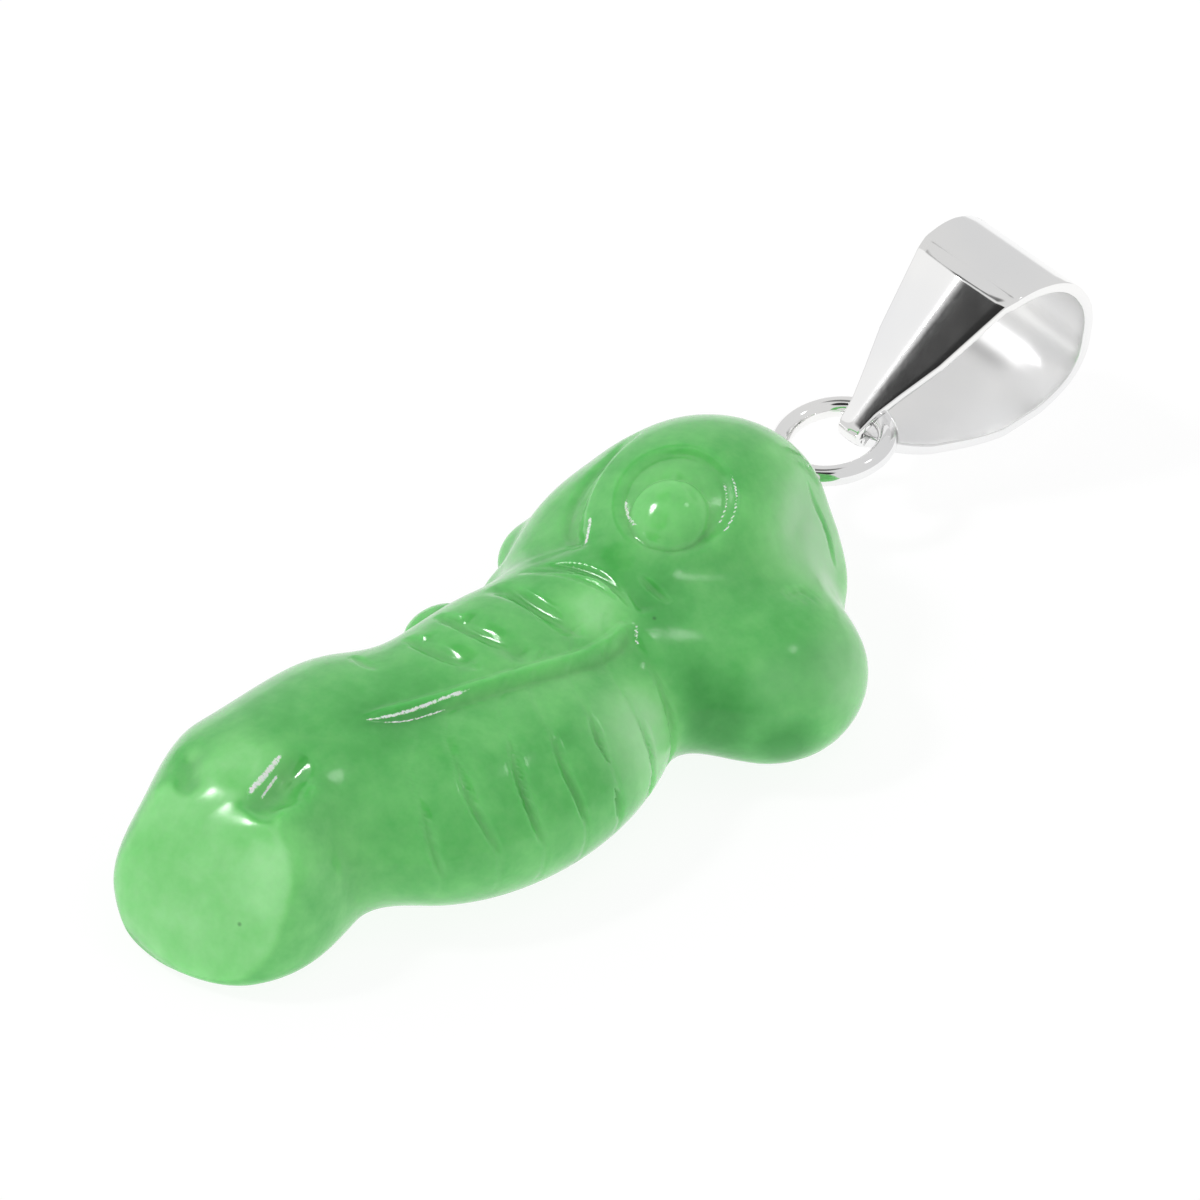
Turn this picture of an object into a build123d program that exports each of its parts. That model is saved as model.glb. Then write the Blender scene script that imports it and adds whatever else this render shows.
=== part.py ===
from build123d import *
import math
import os
from collections import namedtuple

import numpy as np

# A carved jade seahorse that lies on its flat back.  Its head and silver fittings point
# towards +Y, its snout and belly towards +X.  Millimetres, upwards from what it lies on.

# Driving sizes of the stone
stone_length = 28.5
stone_width = 13.0
stone_thickness = 7.7
back_round = 0.9            # how softly the flat back turns up into the sides
spokes = 96                 # points round each cross-section
spoke_share = 0.6           # their spacing on the upper face, as a share of the mean
tail_flat = 0.02            # depth inside the stone at which its last section stands

# Eye, carved on the upper face of the head
socket_radius = 2.1
socket_depth = 0.24
socket_wall = 0.6
eyeball_radius = 1.27
eyeball_rise = 0.5

# Silver peg, cap and eye ring, soldered into one piece
ring_radius = 1.82          # to the middle of the wire
ring_wire = 0.7
ring_height = 3.0           # of the ring's centre above the surface
ring_pitch = 6.5            # degrees that the far side of the ring stands up
ring_roll = -4.0
cap_diameter = 2.75
cap_thickness = 1.1
cap_edge = 0.45
cap_gap = 0.03              # between the cap and its seat on the head
cap_to_ring = 0.18          # from the cap to the wire, filled with solder
solder_width = 1.3
solder_tip = 0.4            # where it narrows on to the wire, as a share of the wire
peg_diameter = 1.0
peg_length = 4.0
peg_clearance = 0.1         # room for cement round the peg and past its end

# Folded bail, one closed band that passes round the far side of the ring
bail_length = 9.5
bail_depth = 6.0
bail_width = 4.7
bail_sheet = 0.4
bail_ridge = 0.28           # height of the fold along the front strap
bail_yaw = -3.0
bail_roll = 5.0
bail_aside = 0.22           # where the bail's tip stands from the ring's centre
bail_ahead = 0.05
bail_lift = 0.17

# Ellipsoid lobes that blend into the seahorse.  Places and half sizes are shares of the
# stone's length (along, long), width (across, wide) and thickness (up, tall).
Lobe = namedtuple("Lobe", "name along across up long wide tall blend")
lobes = [
    Lobe("tail curl", 0.793, 0.005, 0.299, 0.179, 0.323, 0.468, 0.00),
    Lobe("tail heel", 0.873, 0.068, 0.195, 0.128, 0.277, 0.377, 0.12),
    Lobe("waist", 0.674, 0.036, 0.338, 0.158, 0.338, 0.442, 0.13),
    Lobe("belly", 0.551, 0.246, 0.338, 0.242, 0.358, 0.429, 0.12),
    Lobe("back", 0.492, 0.105, 0.403, 0.228, 0.254, 0.416, 0.13),
    Lobe("mane", 0.179, -0.041, 0.377, 0.193, 0.262, 0.455, 0.10),
    Lobe("crest", 0.260, -0.233, 0.351, 0.053, 0.092, 0.169, 0.05),
    Lobe("nape", 0.334, -0.141, 0.338, 0.046, 0.092, 0.156, 0.05),
    Lobe("dorsal fin", 0.460, -0.148, 0.458, 0.046, 0.069, 0.091, 0.04),
    Lobe("forehead", 0.127, 0.205, 0.364, 0.116, 0.269, 0.364, 0.10),
    Lobe("head dome", 0.158, 0.098, 0.514, 0.167, 0.315, 0.514, 0.08),
    Lobe("neck", 0.320, 0.175, 0.403, 0.126, 0.338, 0.390, 0.18),
    Lobe("snout", 0.226, 0.506, 0.312, 0.111, 0.228, 0.351, 0.24),
]

# Hollows, softly taken away: the same shares, then the turn about the upright
Hollow = namedtuple("Hollow", "name along across up long wide tall turn blend")
hollows = [
    Hollow("tail pit", 0.829, 0.150, 0.772, 0.051, 0.050, 0.110, 16.0, 0.05),
]

# Flatter facets, softly cut into one lobe each: a point on it, then the way it faces
Facet = namedtuple("Facet", "lobe along across up facing blend")
facets = [
    Facet("tail curl", 0.951, 0.020, 0.370, (0.04, -0.88, 0.47), 0.08),
    Facet("tail heel", 0.951, 0.020, 0.370, (0.04, -0.88, 0.47), 0.08),
    Facet("tail curl", 0.913, -0.166, 0.390, (-0.83, -0.46, 0.31), 0.08),
    Facet("head dome", 0.105, 0.375, 0.620, (0.80, 0.42, 0.42), 0.06),
    Facet("forehead", 0.105, 0.375, 0.620, (0.80, 0.42, 0.42), 0.06),
]

# Folds: the surface steps down to the right of a line drawn on the upper face.
# Three points (along, across), the drop, how far it reaches and where the drop fades.
Fold = namedtuple("Fold", "name start middle end drop reach fade")
folds = [
    Fold("belly ridge", (0.703, 0.124), (0.522, 0.298), (0.362, 0.330), 0.30, 1.7, 0.90),
    Fold("brow", (0.150, -0.088), (0.262, -0.052), (0.318, 0.083), 0.36, 0.9, 0.80),
    Fold("collar fold", (0.355, 0.325), (0.347, 0.190), (0.400, -0.010), 0.20, 0.8, 0.85),
]
# Soft lines, raised or sunk: three points (along, across), the rise, half the width, and
# the shares of the line at which it has come in full and at which it starts to fade
Line = namedtuple("Line", "name start middle end rise reach full fade")
soft_lines = [
    Line("belly welt", (0.703, 0.110), (0.522, 0.286), (0.362, 0.322), 0.13, 0.24, 0.10, 0.92),
    Line("back valley 1", (0.433, -0.020), (0.432, 0.143), (0.421, 0.276), -0.11, 0.42, 0.15, 0.85),
    Line("back valley 2", (0.502, 0.033), (0.510, 0.143), (0.499, 0.273), -0.11, 0.42, 0.15, 0.85),
    Line("back valley 3", (0.556, 0.010), (0.563, 0.090), (0.552, 0.210), -0.09, 0.42, 0.15, 0.85),
    Line("brow groove", (0.150, -0.125), (0.262, -0.095), (0.316, 0.030), -0.12, 0.25, 0.20, 0.80),
    Line("curl groove", (0.845, -0.150), (0.898, -0.030), (0.868, 0.150), -0.36, 0.56, 0.45, 0.90),
    Line("curl pit", (0.875, 0.140), (0.830, 0.118), (0.775, 0.082), -0.24, 0.36, 0.15, 0.70),
    Line("curl lip", (0.868, 0.195), (0.822, 0.218), (0.786, 0.165), 0.18, 0.34, 0.20, 0.75),
]
fold_wall = 0.5
fold_from = 2.6             # folds, soft lines and the eye fade out below this height
fold_full = 4.2

# Eye places (along, across, up) and the way the eye faces
socket_at = (0.2165, 0.157, 0.900)
eyeball_at = (0.241, 0.186, 0.915)
eye_facing = (0.28, -0.38, 0.88)

# Carved strokes: three points on the surface (along, turn in degrees round the spine),
# then the stroke's width and depth
Stroke = namedtuple("Stroke", "name start middle end width depth")
strokes = [
    Stroke("collar", (0.383, 127), (0.345, 90), (0.357, 51), 0.42, 0.15),
    Stroke("collar under", (0.401, 121), (0.363, 86), (0.362, 56), 0.34, 0.10),
    Stroke("cheek line", (0.312, 67), (0.314, 55), (0.313, 43), 0.40, 0.10),
    Stroke("leaf left", (0.381, 33), (0.437, 10), (0.452, -16), 0.34, 0.13),
    Stroke("leaf right", (0.377, 32), (0.387, 9), (0.408, -16), 0.34, 0.13),
    Stroke("belly rib 1", (0.446, 47), (0.500, 23), (0.514, -8), 0.34, 0.13),
    Stroke("belly rib 2", (0.504, 51), (0.558, 26), (0.564, -2), 0.28, 0.09),
    Stroke("belly rib 3", (0.542, 57), (0.605, 29), (0.625, 0), 0.28, 0.09),
    Stroke("belly rib 4", (0.617, 57), (0.668, 28), (0.675, 3), 0.28, 0.09),
    Stroke("belly rib 5", (0.687, 42), (0.724, 20), (0.734, -1), 0.26, 0.08),
    Stroke("back rib 1", (0.424, 126), (0.431, 90), (0.418, 54), 0.55, 0.17),
    Stroke("back rib 2", (0.510, 132), (0.514, 97), (0.495, 62), 0.50, 0.15),
    Stroke("back rib 3", (0.560, 130), (0.565, 102), (0.552, 75), 0.50, 0.13),
    Stroke("back rib 4", (0.617, 136), (0.624, 122), (0.628, 107), 0.42, 0.10),
    Stroke("mouth slit", (0.053, 48), (0.057, 24), (0.068, 0), 0.34, 0.20),
    Stroke("snout notch", (0.201, 22), (0.180, 20.5), (0.157, 17), 0.46, 0.15),
]
stroke_rise = 0.25          # how far a stroke's ends lift, as a share of its depth

# The line that the cross-sections are drawn round, in shares of the stone's sizes
Spine = namedtuple("Spine", "along across up")
spine = [
    Spine(0.00, 0.04, 0.43),
    Spine(0.16, 0.10, 0.40),
    Spine(0.33, 0.14, 0.40),
    Spine(0.55, 0.16, 0.38),
    Spine(0.80, -0.01, 0.34),
    Spine(0.93, 0.04, 0.22),
    Spine(0.98, 0.062, 0.11),
    Spine(1.00, 0.062, 0.10),
]

# How closely the cross-sections stand along the stone
Spacing = namedtuple("Spacing", "along step")
spacings = [
    Spacing(0.00, 0.0012),
    Spacing(0.02, 0.0040),
    Spacing(0.12, 0.0075),
    Spacing(0.38, 0.0075),
    Spacing(0.50, 0.0130),
    Spacing(0.78, 0.0100),
    Spacing(0.93, 0.0100),
    Spacing(0.98, 0.0040),
    Spacing(1.00, 0.0012),
]

# Bail seen from the side: corners of its outer line as shares of its length from the tip
# and of its depth above the tip, and each corner's radius as a share of the depth
Corner = namedtuple("Corner", "along up radius")
bail_corners = [
    Corner(0.000, 0.000, 0.075),
    Corner(0.590, 0.725, 0.200),
    Corner(0.835, 0.765, 0.500),
    Corner(1.005, 0.360, 0.450),
    Corner(0.985, -0.075, 0.350),
    Corner(0.800, -0.225, 0.600),
    Corner(0.520, -0.285, 1.000),
    Corner(0.240, -0.225, 0.800),
]
# The fold along the front strap starts, stands full and dies out at these shares of the strap
ridge_low = 0.06
ridge_high = 0.945
ridge_end = 1.00
# Width of the bail along its length, as shares of its length and of its width
Taper = namedtuple("Taper", "along width")
bail_tapers = [
    Taper(-0.05, 0.15),
    Taper(0.00, 0.17),
    Taper(0.11, 0.25),
    Taper(0.19, 0.38),
    Taper(0.32, 0.61),
    Taper(0.60, 0.94),
    Taper(0.75, 0.985),
    Taper(1.02, 1.00),
]


def soft_least(first, second, blend):
    share = np.clip(0.5 + 0.5 * (second - first) / blend, 0, 1)
    return second * (1 - share) + first * share - blend * share * (1 - share)


def soft_most(first, second, blend):
    return -soft_least(-first, -second, blend)


def ramp(low, high, value):
    share = np.clip((value - low) / (high - low), 0, 1)
    return share * share * (3 - 2 * share)


def place(along, across, up):
    return np.array([across * stone_width, seat_y - along * stone_length, up * stone_thickness])


def ellipsoid(points, centre, halves, turn=0.0):
    rel = points - centre
    angle = math.radians(turn)
    x = rel[..., 0] * math.cos(angle) + rel[..., 1] * math.sin(angle)
    y = rel[..., 1] * math.cos(angle) - rel[..., 0] * math.sin(angle)
    scaled = np.stack([x / halves[0], y / halves[1], rel[..., 2] / halves[2]], -1)
    reach = np.linalg.norm(scaled, axis=-1)
    slope = np.linalg.norm(scaled / halves, axis=-1) + 1e-9
    return reach * (reach - 1) / slope


def plan_line(start, middle, end):
    # a bow through the three points, as short straight runs
    first = np.array([start[1] * stone_width, seat_y - start[0] * stone_length])
    half = np.array([middle[1] * stone_width, seat_y - middle[0] * stone_length])
    last = np.array([end[1] * stone_width, seat_y - end[0] * stone_length])
    pull = 2 * half - (first + last) / 2
    runs = []
    for share in np.linspace(0, 1, 9):
        runs.append((1 - share) ** 2 * first + 2 * share * (1 - share) * pull + share ** 2 * last)
    return runs


def beside(points, runs):
    # distance from the line in plan, positive to the right of its way, and the share run
    best = np.full(points.shape[:-1], 1e9)
    side = np.zeros(points.shape[:-1])
    share = np.zeros(points.shape[:-1])
    flat = points[..., :2]
    for number in range(len(runs) - 1):
        here = runs[number]
        way = runs[number + 1] - here
        size = math.hypot(way[0], way[1])
        way = way / size
        rel = flat - here
        run = np.clip(rel @ way, 0, size)
        gap = np.linalg.norm(rel - run[..., None] * way, axis=-1)
        nearer = gap < best
        right = rel[..., 0] * way[1] - rel[..., 1] * way[0]
        side = np.where(nearer, np.sign(right) * gap, side)
        share = np.where(nearer, (number + run / size) / (len(runs) - 1), share)
        best = np.where(nearer, gap, best)
    return side, share


def from_axis(points, centre, facing):
    rel = points - centre
    depth = rel @ facing
    return np.sqrt(np.maximum((rel * rel).sum(-1) - depth ** 2, 0))


def stone_field(points):
    # below zero inside the stone
    field = None
    for lobe in lobes:
        halves = np.array([lobe.wide * stone_width, lobe.long * stone_length,
                           lobe.tall * stone_thickness])
        one = ellipsoid(points, place(lobe.along, lobe.across, lobe.up), halves)
        for facet in facets:
            if facet.lobe == lobe.name:
                way = np.array(facet.facing) / np.linalg.norm(facet.facing)
                cut = (points - place(facet.along, facet.across, facet.up)) @ way
                one = soft_most(one, cut, facet.blend * stone_thickness)
        if field is None:
            field = one
        else:
            field = soft_least(field, one, lobe.blend * stone_thickness)
    for hollow in hollows:
        halves = np.array([hollow.wide * stone_width, hollow.long * stone_length,
                           hollow.tall * stone_thickness])
        one = ellipsoid(points, place(hollow.along, hollow.across, hollow.up), halves, hollow.turn)
        field = soft_most(field, -one, hollow.blend * stone_thickness)
    upper = ramp(fold_from, fold_full, points[..., 2])
    for fold, runs in fold_runs:
        side, share = beside(points, runs)
        step = ramp(-fold_wall / 2, fold_wall / 2, side) * np.exp(-np.clip(side, 0, None) / fold.reach)
        ends = ramp(0, 0.15, share) * (1 - ramp(fold.fade, 1, share))
        field = field + fold.drop * step * ends * upper
    for line, runs in line_runs:
        side, share = beside(points, runs)
        ends = ramp(0, line.full, share) * (1 - ramp(line.fade, 1, share))
        field = field - line.rise * np.exp(-(side / line.reach) ** 2) * ends * upper
    facing = np.array(eye_facing) / np.linalg.norm(eye_facing)
    out = from_axis(points, place(*socket_at), facing)
    field = field + socket_depth * upper * (1 - ramp(socket_radius - socket_wall, socket_radius, out))
    out = from_axis(points, place(*eyeball_at), facing)
    dome = np.sqrt(np.clip(1 - (out / eyeball_radius) ** 2, 0, 1))
    field = field - eyeball_rise * dome * upper
    return soft_most(field, -points[..., 2], back_round)


def spine_point(along):
    stops = [row.along for row in spine]
    across = np.interp(along, stops, [row.across for row in spine])
    up = np.interp(along, stops, [row.up for row in spine])
    return place(along, across, up)


def on_surface(along, turns):
    # where rays from the spine, turned in the cross-section, leave the stone
    turns = np.radians(np.atleast_1d(turns))
    ways = np.stack([np.cos(turns), np.zeros(len(turns)), np.sin(turns)], -1)
    middle = spine_point(along)
    inner = np.zeros(len(turns))
    outer = np.full(len(turns), stone_width)
    for _ in range(18):
        half = (inner + outer) / 2
        inside = stone_field(middle + ways * half[:, None]) < 0
        inner = np.where(inside, half, inner)
        outer = np.where(inside, outer, half)
    return middle + ways * inner[:, None]


def outward(point):
    reach = 0.02
    steps = np.eye(3) * reach
    slope = stone_field(point + steps) - stone_field(point - steps)
    return slope / np.linalg.norm(slope)


def carved_stroke(stroke):
    # a round tool on an arc that is deepest half-way and lifts out of the stone at both ends
    tool = (stroke.width ** 2 / 4 + stroke.depth ** 2) / (2 * stroke.depth)
    path = []
    for stop, sink in ((stroke.start, -stroke_rise), (stroke.middle, 1), (stroke.end, -stroke_rise)):
        point = on_surface(*stop)[0]
        path.append(Vector(*(point + outward(point) * (tool - sink * stroke.depth))))
    arc = Edge.make_three_point_arc(*path)
    return Solid.sweep(Wire.make_circle(tool, Plane(arc @ 0, z_dir=arc % 0)), arc)


def section_wire(along):
    # a closed curve round the spine that starts underneath, its points closer on the upper face
    spread = 2 * np.arange(spokes) / spokes - 1
    turns = 90 + 180 * (spoke_share * spread + (1 - spoke_share) * spread ** 3)
    points = [Vector(*point) for point in on_surface(along, turns)]
    shares = [number / spokes for number in range(spokes + 1)]
    return Wire([Edge.make_spline(points, periodic=True, parameters=shares)])


def stone_stations():
    stops = [row.along for row in spacings]
    steps = [row.step for row in spacings]
    found = [0.0]
    while found[-1] < 1.0:
        found.append(found[-1] + float(np.interp(found[-1], stops, steps)))
    return [value * tail_end / found[-1] for value in found]


def find_tail_end():
    # the share of the length at which only a small flat is left
    inner = 0.8
    outer = 1.1
    for _ in range(30):
        half = (inner + outer) / 2
        if stone_field(spine_point(half)) < -tail_flat:
            inner = half
        else:
            outer = half
    return inner


# Everything is set out from the ring's centre, at x = 0 and y = 0
ring_reach = ring_radius + ring_wire / 2
cap_front = -ring_reach - cap_to_ring
cap_back = cap_front - cap_thickness
seat_y = cap_back - cap_gap
fold_runs = [(fold, plan_line(fold.start, fold.middle, fold.end)) for fold in folds]
line_runs = [(line, plan_line(line.start, line.middle, line.end)) for line in soft_lines]
tail_end = find_tail_end()

stone = Solid.make_loft([section_wire(along) for along in stone_stations()], ruled=False)
stone = stone.cut(*[carved_stroke(stroke) for stroke in strokes])
hole_radius = peg_diameter / 2 + peg_clearance
hole_depth = peg_length - cap_gap + peg_clearance
seat = Plane(origin=(0, seat_y, ring_height), z_dir=(0, -1, 0))
stone = stone - Solid.make_cylinder(hole_radius, hole_depth, seat)

# Cap, peg, solder and ring
back = Plane(origin=(0, cap_back, ring_height), z_dir=(0, 1, 0))
cap = Solid.make_cylinder(cap_diameter / 2, cap_thickness, back)
front_edge = cap.edges().filter_by(GeomType.CIRCLE).sort_by(Axis.Y)[-1]
cap = cap.fillet(cap_edge, [front_edge])
peg = Solid.make_cylinder(peg_diameter / 2, peg_length, Plane(origin=back.origin, z_dir=(0, -1, 0)))
lean = Location((0, 0, ring_height), (ring_pitch, 0, 0)) * Location((0, 0, 0), (0, ring_roll, 0))
ring = lean * Torus(ring_radius, ring_wire / 2)
near_side = lean * Location((0, -ring_radius, 0))
solder_reach = near_side.position.Y - cap_front
solder_from = Plane(origin=(0, cap_front, near_side.position.Z), z_dir=(0, 1, 0))
solder = Solid.make_cone(solder_width / 2, ring_wire * solder_tip, solder_reach, solder_from)
fitting = cap + peg + ring + solder

# Bail: a band bent round its outer line, tapered, with a fold along the front strap
bail_points = [(row.along * bail_length, row.up * bail_depth) for row in bail_corners]
outline = Face(Wire.make_polygon([Vector(x, y) for x, y in bail_points], close=True))
for row, (x, y) in zip(bail_corners, bail_points):
    corner = outline.vertices().sort_by_distance((x, y, 0))[0]
    outline = outline.fillet_2d(row.radius * bail_depth, [corner])
opening = Face(outline.outer_wire().offset_2d(-bail_sheet))
side_on = Location(Plane(origin=(-bail_width, 0, 0), x_dir=(0, 1, 0), z_dir=(1, 0, 0)))
across = Vector(2 * bail_width, 0, 0)
band = Solid.extrude(outline.moved(side_on), across)

strap_way = Vector(*bail_points[1]).normalized()
strap_out = Vector(-strap_way.Y, strap_way.X)
strap_length = Vector(*bail_points[1]).length


def ridge_section(run, half, height):
    # a triangle across the front strap, this far along it
    foot = strap_way * (run * strap_length) - strap_out * (bail_sheet / 2)
    crest = strap_way * (run * strap_length) + strap_out * height
    corners = [(-half, foot.X, foot.Y), (half, foot.X, foot.Y), (0, crest.X, crest.Y)]
    return Wire.make_polygon([Vector(*corner) for corner in corners], close=True)


wide = bail_width / 2
ridge_rows = [(ridge_low, 0.30, 0.30), (ridge_high, 1.06, 1.00), (ridge_end, 1.06, -0.40)]
ridge_wires = [ridge_section(run, half * wide, rise * bail_ridge) for run, half, rise in ridge_rows]
band = band + Solid.make_loft(ridge_wires, ruled=True)
band = band - Solid.extrude(opening.moved(side_on), across)
left_side = [Vector(-row.width * wide, row.along * bail_length) for row in bail_tapers]
right_side = [Vector(row.width * wide, row.along * bail_length) for row in reversed(bail_tapers)]
plan_edges = [Edge.make_spline(left_side), Edge.make_line(left_side[-1], right_side[0])]
plan_edges += [Edge.make_spline(right_side), Edge.make_line(right_side[-1], left_side[0])]
plan = Face(Wire(plan_edges)).moved(Location((0, 0, -bail_depth)))
bail = band & Solid.extrude(plan, Vector(0, 0, 2 * bail_depth))
hang = Location((bail_aside, bail_ahead, ring_height + bail_lift))
bail = bail.moved(hang * Location((0, 0, 0), (0, 0, bail_yaw)) * Location((0, 0, 0), (0, bail_roll, 0)))

# The whole is set down with its middle over the origin and its underside at zero height
parts = {"jade_seahorse": stone, "silver_cap_and_ring": fitting, "silver_bail": bail}
boxes = [solid.bounding_box(optimal=True) for solid in parts.values()]
middle_x = (min(box.min.X for box in boxes) + max(box.max.X for box in boxes)) / 2
middle_y = (min(box.min.Y for box in boxes) + max(box.max.Y for box in boxes)) / 2
lowest = min(box.min.Z for box in boxes)
shift = Location((-middle_x, -middle_y, -lowest))

os.makedirs("parts", exist_ok=True)
for name, solid in parts.items():
    export_step(solid.moved(shift), "parts/" + name + ".step")
    box = solid.moved(shift).bounding_box(optimal=True)
    print(name, "volume", round(solid.volume, 2), "valid", solid.is_valid,
          "solids", len(solid.solids()), "low", box.min, "high", box.max)
print("ring centre", tuple(round(value, 3) for value in (shift * Location((0, 0, ring_height))).position))
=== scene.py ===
import math

import bmesh
import bpy
import numpy as np
from mathutils import Matrix, Vector


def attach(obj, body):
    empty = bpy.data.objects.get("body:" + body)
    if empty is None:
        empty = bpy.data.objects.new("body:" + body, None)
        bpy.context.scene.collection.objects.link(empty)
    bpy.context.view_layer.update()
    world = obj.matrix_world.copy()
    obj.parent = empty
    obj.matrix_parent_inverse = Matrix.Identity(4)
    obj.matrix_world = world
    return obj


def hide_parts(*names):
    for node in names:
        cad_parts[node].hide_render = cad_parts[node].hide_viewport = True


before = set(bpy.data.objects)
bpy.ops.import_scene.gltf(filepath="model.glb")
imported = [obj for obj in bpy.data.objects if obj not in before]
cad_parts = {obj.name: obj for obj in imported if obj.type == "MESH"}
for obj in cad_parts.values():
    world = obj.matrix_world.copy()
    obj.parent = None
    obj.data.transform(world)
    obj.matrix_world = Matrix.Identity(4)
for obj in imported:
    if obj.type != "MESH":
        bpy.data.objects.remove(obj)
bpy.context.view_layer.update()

mm = 0.001
ringSpot = np.array([-2.659, 10.960, 3.001])   # middle of the eye ring, in millimetres of the row frame


# Small helpers for shader maths: an expression on values adds its own nodes
class Socket:
    def __init__(self, graph, link):
        self.graph = graph
        self.link = link

    def join(self, operation, other):
        return self.graph.node("ShaderNodeMath", {"operation": operation}, {0: self, 1: other})

    def __add__(self, other):
        return self.join("ADD", other)

    def __sub__(self, other):
        return self.join("SUBTRACT", other)

    def __mul__(self, other):
        return self.join("MULTIPLY", other)

    def __truediv__(self, other):
        return self.join("DIVIDE", other)

    __radd__ = __add__
    __rmul__ = __mul__


class Graph:
    def __init__(self, name):
        self.material = bpy.data.materials.new(name)
        self.material.use_nodes = True
        self.tree = self.material.node_tree
        self.tree.nodes.clear()

    def node(self, kind, settings=None, values=None, out=0):
        made = self.tree.nodes.new(kind)
        for key, value in (settings or {}).items():
            if key == "stops":
                ramp = made.color_ramp
                while len(ramp.elements) > 1:
                    ramp.elements.remove(ramp.elements[0])
                ramp.elements[0].position, ramp.elements[0].color = value[0][0], value[0][1]
                for spot, colour in value[1:]:
                    ramp.elements.new(spot).color = colour
            else:
                setattr(made, key, value)
        for key, value in (values or {}).items():
            if isinstance(value, Socket):
                self.tree.links.new(value.link, made.inputs[key])
            else:
                made.inputs[key].default_value = value
        return Socket(self, made.outputs[out] if len(made.outputs) else None)

    def mix(self, share, first, second):
        return self.node("ShaderNodeMix", {"data_type": "RGBA"}, {0: share, 6: first, 7: second}, out=2)

    def ramp(self, value, low, high):
        return self.node("ShaderNodeMapRange", {"interpolation_type": "SMOOTHSTEP"},
                         {0: value, 1: low, 2: high, 3: 0.0, 4: 1.0})

    def noise(self, spot, scale, detail=2.0, rough=0.5, distort=0.0):
        return self.node("ShaderNodeTexNoise", {}, {
            "Vector": spot, "Scale": scale, "Detail": detail, "Roughness": rough, "Distortion": distort})

    def bump(self, strength, distance, height):
        return self.node("ShaderNodeBump", {}, {
            "Strength": strength, "Distance": distance, "Height": height})

    def attribute(self, name):
        return self.node("ShaderNodeAttribute", {"attribute_name": name}, out=2)

    def objectSpot(self):
        return self.node("ShaderNodeTexCoord", out=3)

    def distance(self, spot, place):
        # from a spot in metres to a place in millimetres
        place = tuple(value * mm for value in place)
        return self.node("ShaderNodeVectorMath", {"operation": "DISTANCE"}, {0: spot, 1: place}, out=1)

    def finish(self, shader):
        self.node("ShaderNodeOutputMaterial", {}, {0: shader})
        return self.material


# The two ground flats: a point on each (along, across, up), the way it faces, and its blend
tailWall = (0.951, 0.020, 0.370, (0.18, -0.86, 0.46), 0.11)
headFlat = (0.105, 0.375, 0.620, (0.80, 0.42, 0.42), 0.04)

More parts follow.
